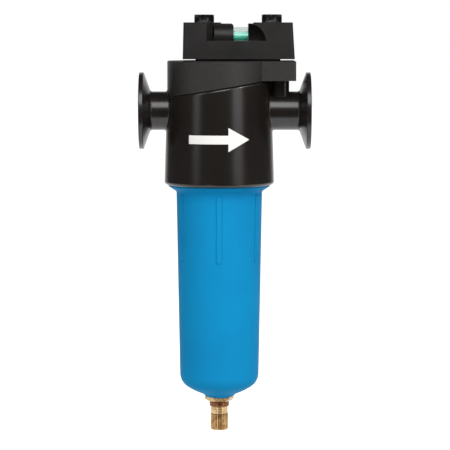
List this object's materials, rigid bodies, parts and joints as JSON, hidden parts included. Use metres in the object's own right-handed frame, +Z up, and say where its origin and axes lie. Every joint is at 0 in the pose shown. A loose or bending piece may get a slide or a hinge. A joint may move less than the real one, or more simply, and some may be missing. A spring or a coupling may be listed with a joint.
{
  "type": "inline filter",
  "caption": "Inline filter with sanitary clamp ferrules, a sliding pressure-drop indicator on the cast head, a screw-on bowl and a float drain with a knurled knob.",
  "frame": {"origin": "centre of the inlet ferrule's sealing face, on the port axis", "axes": "+X along the flow from inlet to outlet, +Z up along the bowl's axis, and -Y is the front, where the indicator is read"},
  "size_m": [0.1126, 0.0724, 0.2755],
  "materials": {
    "black_paint": "satin black enamel on cast aluminium",
    "black_nylon": "fine textured moulding",
    "black_steel": "black oxide, knurled",
    "blue_paint": "satin blue powder coat",
    "brass": "turned",
    "copper": "turned",
    "clear_plastic": "polished",
    "green_plastic": "moulded",
    "red_plastic": "moulded",
    "white_plastic": "moulded",
    "grey_nylon": "moulded",
    "black_rubber": "moulded",
    "spring_steel": "drawn wire",
    "stainless_steel": "perforated sheet",
    "filter_paper": "pleated glass fibre",
    "drain_foam": "open cell foam"
  },
  "bodies": {
    "head": {"head": "black_paint", "inlet_ferrule": "black_paint", "outlet_ferrule": "black_paint", "indicator_gasket": "black_rubber", "indicator_housing": "black_nylon", "indicator_screw_inlet": "black_steel", "indicator_screw_outlet": "black_steel", "sight_tube": "clear_plastic", "indicator_seals": "black_rubber", "indicator_plug": "brass", "indicator_spring": "spring_steel", "element_top_cap": "grey_nylon", "element_oring": "black_rubber", "element_core": "stainless_steel", "element_media": "filter_paper", "element_support": "stainless_steel", "element_foam": "drain_foam", "element_bottom_cap": "grey_nylon"},
    "slider": {"indicator_slider": "green_plastic", "slider_red_band": "red_plastic"},
    "bowl_seal": {"bowl_oring": "black_rubber"},
    "bowl": {"bowl": "blue_paint", "drain_body": "brass", "drain_seal": "black_rubber", "drain_locknut": "brass", "drain_ring": "copper", "drain_cage": "grey_nylon", "drain_knob_seal": "black_rubber"},
    "float": {"drain_float": "white_plastic", "float_pad": "black_rubber"},
    "knob": {"drain_knob": "brass"}
  },
  "joints": [
    {"name": "bowl_descent", "type": "slide", "parent": "head", "child": "bowl_seal", "axis": [0, 0, -1], "range_m": [0, 0.01201]},
    {"name": "bowl_unscrew", "type": "hinge", "parent": "bowl_seal", "child": "bowl", "pos_m": [0.0526, 0, -0.04], "axis": [0, 0, -1], "range_deg": [0, 1440]},
    {"name": "indicator_slide", "type": "slide", "parent": "head", "child": "slider", "axis": [1, 0, 0], "range_m": [0, 0.0095], "stiffness_N_per_m": 30, "springref_m": -0.005, "deforming": ["indicator_spring"]},
    {"name": "float_lift", "type": "slide", "parent": "bowl", "child": "float", "axis": [0, 0, 1], "range_m": [0, 0.0035]},
    {"name": "drain_knob_turn", "type": "hinge", "parent": "bowl", "child": "knob", "pos_m": [0.0526, 0, -0.205], "axis": [0, 0, -1], "range_deg": [0, 180]}
  ],
  "couplings": [
    {"joint": "bowl_descent", "follows": "bowl_unscrew", "m_per_rad": 0.00047746}
  ]
}
